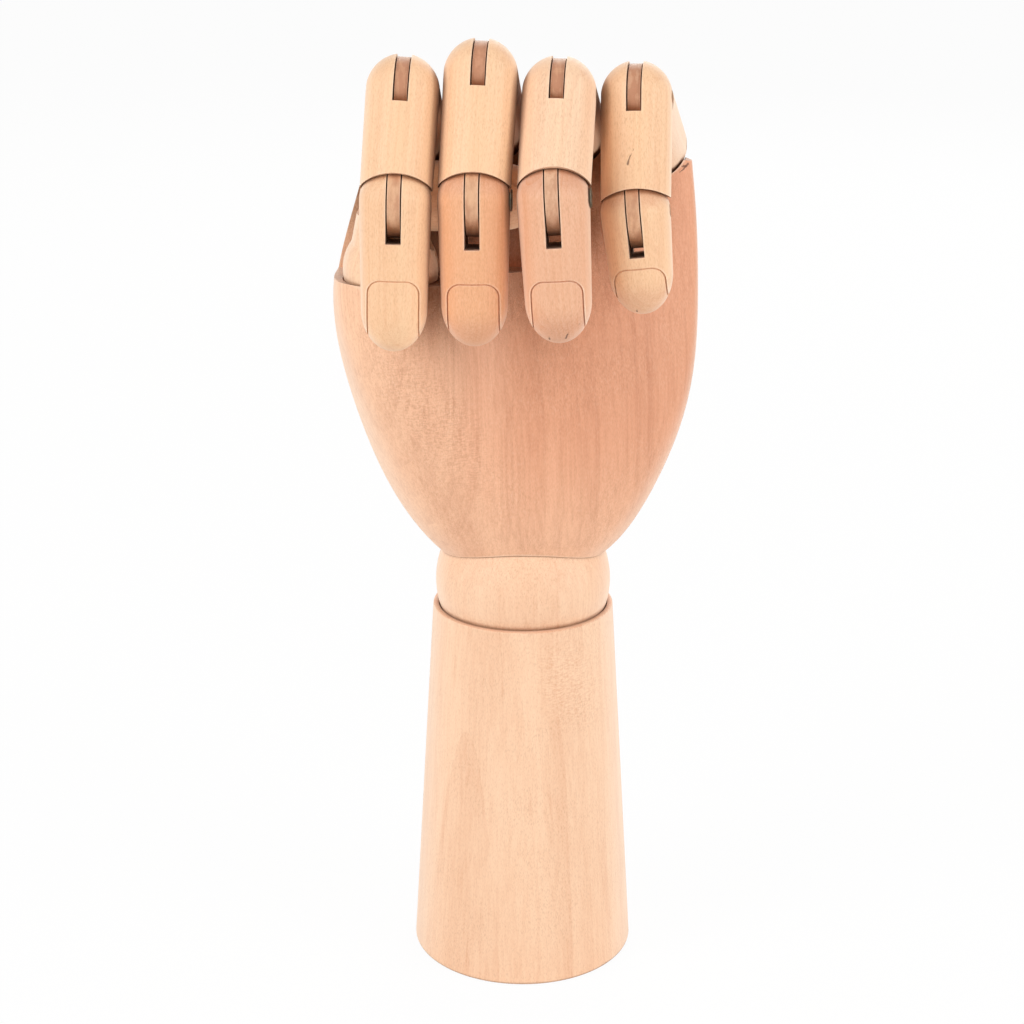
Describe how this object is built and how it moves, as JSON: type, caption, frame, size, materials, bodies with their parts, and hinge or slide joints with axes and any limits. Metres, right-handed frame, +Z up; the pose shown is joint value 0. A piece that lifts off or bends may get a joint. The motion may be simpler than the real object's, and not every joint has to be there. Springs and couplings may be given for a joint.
{
  "type": "jointed wooden hand",
  "caption": "Artist's jointed wooden hand on a turned forearm, palm side forward, fingers folded over the thumb; tongue-and-slot finger joints on steel pins and a sprung ball wrist",
  "frame": {"origin": "centre of the forearm's flat foot", "axes": "+Z up along the forearm, -Y out of the palm, -X to the thumb"},
  "size_m": [0.0875, 0.0848, 0.2394],
  "materials": {
    "turned_wood": "fine-sanded, bare",
    "palm_wood": "fine-sanded, bare",
    "finger_wood": "fine-sanded, bare",
    "steel": "drawn wire, dull"
  },
  "bodies": {
    "forearm": {"forearm": "turned_wood", "wrist_rod": "steel"},
    "wrist_spring": {"wrist_spring": "steel"},
    "wrist_ball": {"wrist_ball": "turned_wood"},
    "palm": {"palm": "palm_wood", "wrist_eye": "steel"},
    "index_proximal": {"index_proximal": "finger_wood", "index_knuckle_pin": "steel"},
    "index_middle": {"index_middle": "finger_wood", "index_middle_pin": "steel"},
    "index_distal": {"index_distal": "finger_wood", "index_tip_pin": "steel"},
    "middle_proximal": {"middle_proximal": "finger_wood", "middle_knuckle_pin": "steel"},
    "middle_middle": {"middle_middle": "finger_wood", "middle_middle_pin": "steel"},
    "middle_distal": {"middle_distal": "finger_wood", "middle_tip_pin": "steel"},
    "ring_proximal": {"ring_proximal": "finger_wood", "ring_knuckle_pin": "steel"},
    "ring_middle": {"ring_middle": "finger_wood", "ring_middle_pin": "steel"},
    "ring_distal": {"ring_distal": "finger_wood", "ring_tip_pin": "steel"},
    "little_proximal": {"little_proximal": "finger_wood", "little_knuckle_pin": "steel"},
    "little_middle": {"little_middle": "finger_wood", "little_middle_pin": "steel"},
    "little_distal": {"little_distal": "finger_wood", "little_tip_pin": "steel"},
    "thumb_base": {"thumb_base": "finger_wood", "thumb_base_pin": "steel"},
    "thumb_tip": {"thumb_tip": "finger_wood", "thumb_tip_pin": "steel"}
  },
  "joints": [
    {"name": "wrist_turn", "type": "hinge", "parent": "forearm", "child": "wrist_spring", "pos_m": [0, 0, 0.1012], "axis": [0, 0, 1], "range_deg": [-90, 90]},
    {"name": "wrist_nod", "type": "hinge", "parent": "wrist_spring", "child": "wrist_ball", "pos_m": [0, 0, 0.1012], "axis": [1, 0, 0], "range_deg": [-30, 30], "deforming": ["wrist_spring"]},
    {"name": "wrist_sway", "type": "hinge", "parent": "wrist_ball", "child": "palm", "pos_m": [0, 0, 0.1012], "axis": [0, 1, 0], "range_deg": [-25, 25], "deforming": ["wrist_spring"]},
    {"name": "index_knuckle", "type": "hinge", "parent": "palm", "child": "index_proximal", "pos_m": [-0.0268, 0.002, 0.212], "axis": [0.9987, -0.0187, -0.0471], "range_deg": [-77, 2]},
    {"name": "index_middle", "type": "hinge", "parent": "index_proximal", "child": "index_middle", "pos_m": [-0.02675, -0.03573, 0.22803], "axis": [0.9979, -0.0241, -0.0599], "range_deg": [-92, 3]},
    {"name": "index_tip", "type": "hinge", "parent": "index_middle", "child": "index_distal", "pos_m": [-0.02833, -0.04451, 0.20521], "axis": [0.9997, -0.0104, -0.0241], "range_deg": [-20, 4]},
    {"name": "middle_knuckle", "type": "hinge", "parent": "palm", "child": "middle_proximal", "pos_m": [-0.0078, 0.002, 0.214], "axis": [0.9982, -0.0578, -0.0174], "range_deg": [-75, 4]},
    {"name": "middle_middle", "type": "hinge", "parent": "middle_proximal", "child": "middle_middle", "pos_m": [-0.00965, -0.0351, 0.23136], "axis": [0.9972, -0.0659, -0.0348], "range_deg": [-95, 5]},
    {"name": "middle_tip", "type": "hinge", "parent": "middle_middle", "child": "middle_distal", "pos_m": [-0.01116, -0.04445, 0.20555], "axis": [0.9987, -0.0504, 0.0078], "range_deg": [-20, 8]},
    {"name": "ring_knuckle", "type": "hinge", "parent": "palm", "child": "ring_proximal", "pos_m": [0.0112, 0.002, 0.213], "axis": [0.9959, -0.0896, 0.0139], "range_deg": [-79, 4]},
    {"name": "ring_middle", "type": "hinge", "parent": "ring_proximal", "child": "ring_middle", "pos_m": [0.00756, -0.03612, 0.22764], "axis": [0.9949, -0.1002, -0.0138], "range_deg": [-84, 5]},
    {"name": "ring_tip", "type": "hinge", "parent": "ring_middle", "child": "ring_distal", "pos_m": [0.00618, -0.04691, 0.20625], "axis": [0.9962, -0.0622, 0.0608], "range_deg": [-26, 8]},
    {"name": "little_knuckle", "type": "hinge", "parent": "palm", "child": "little_proximal", "pos_m": [0.0302, 0.002, 0.2105], "axis": [0.9897, -0.1357, 0.0449], "range_deg": [-75, 4]},
    {"name": "little_middle", "type": "hinge", "parent": "little_proximal", "child": "little_middle", "pos_m": [0.0248, -0.03212, 0.22633], "axis": [0.9894, -0.1415, 0.0323], "range_deg": [-100, 4]},
    {"name": "little_tip", "type": "hinge", "parent": "little_middle", "child": "little_distal", "pos_m": [0.02468, -0.03864, 0.20157], "axis": [0.9863, -0.1197, 0.1131], "range_deg": [-15, 8]},
    {"name": "thumb_swing", "type": "hinge", "parent": "palm", "child": "thumb_base", "pos_m": [-0.031, -0.02, 0.1852], "axis": [0, 0.994, 0.1097], "range_deg": [-1, 6]},
    {"name": "thumb_bend", "type": "hinge", "parent": "thumb_base", "child": "thumb_tip", "pos_m": [-0.02954, -0.02193, 0.20264], "axis": [0, 0.994, 0.1097], "range_deg": [-2, 3.5]}
  ]
}
